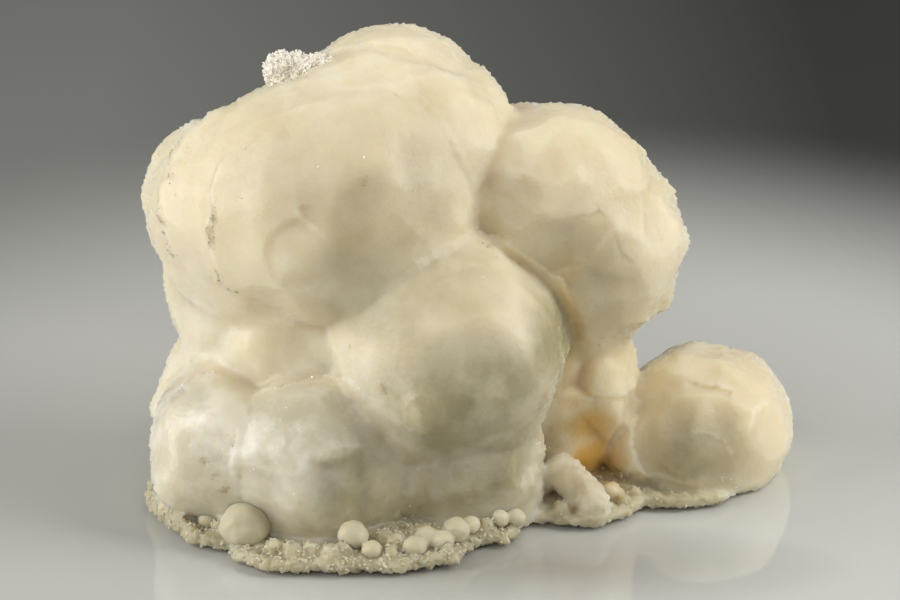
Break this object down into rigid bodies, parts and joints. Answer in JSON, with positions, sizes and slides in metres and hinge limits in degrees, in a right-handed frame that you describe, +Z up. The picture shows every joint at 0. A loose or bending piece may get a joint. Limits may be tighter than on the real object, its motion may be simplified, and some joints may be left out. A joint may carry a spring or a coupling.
{
  "type": "mineral specimen",
  "caption": "Gyrolite mineral specimen: milky cream balls of tight blades grown together on a thin grainy crust, with small pearls and a white tuft.",
  "frame": {"origin": "on the ground, under the middle of the whole specimen's box", "axes": "+X to the single ball's side, the longest extent; +Y to the back; +Z up from the ground"},
  "size_m": [0.0972, 0.056, 0.068],
  "materials": {
    "gyrolite": "waxy"
  },
  "bodies": {
    "root": {"gyrolite_cluster": "gyrolite"}
  },
  "joints": []
}
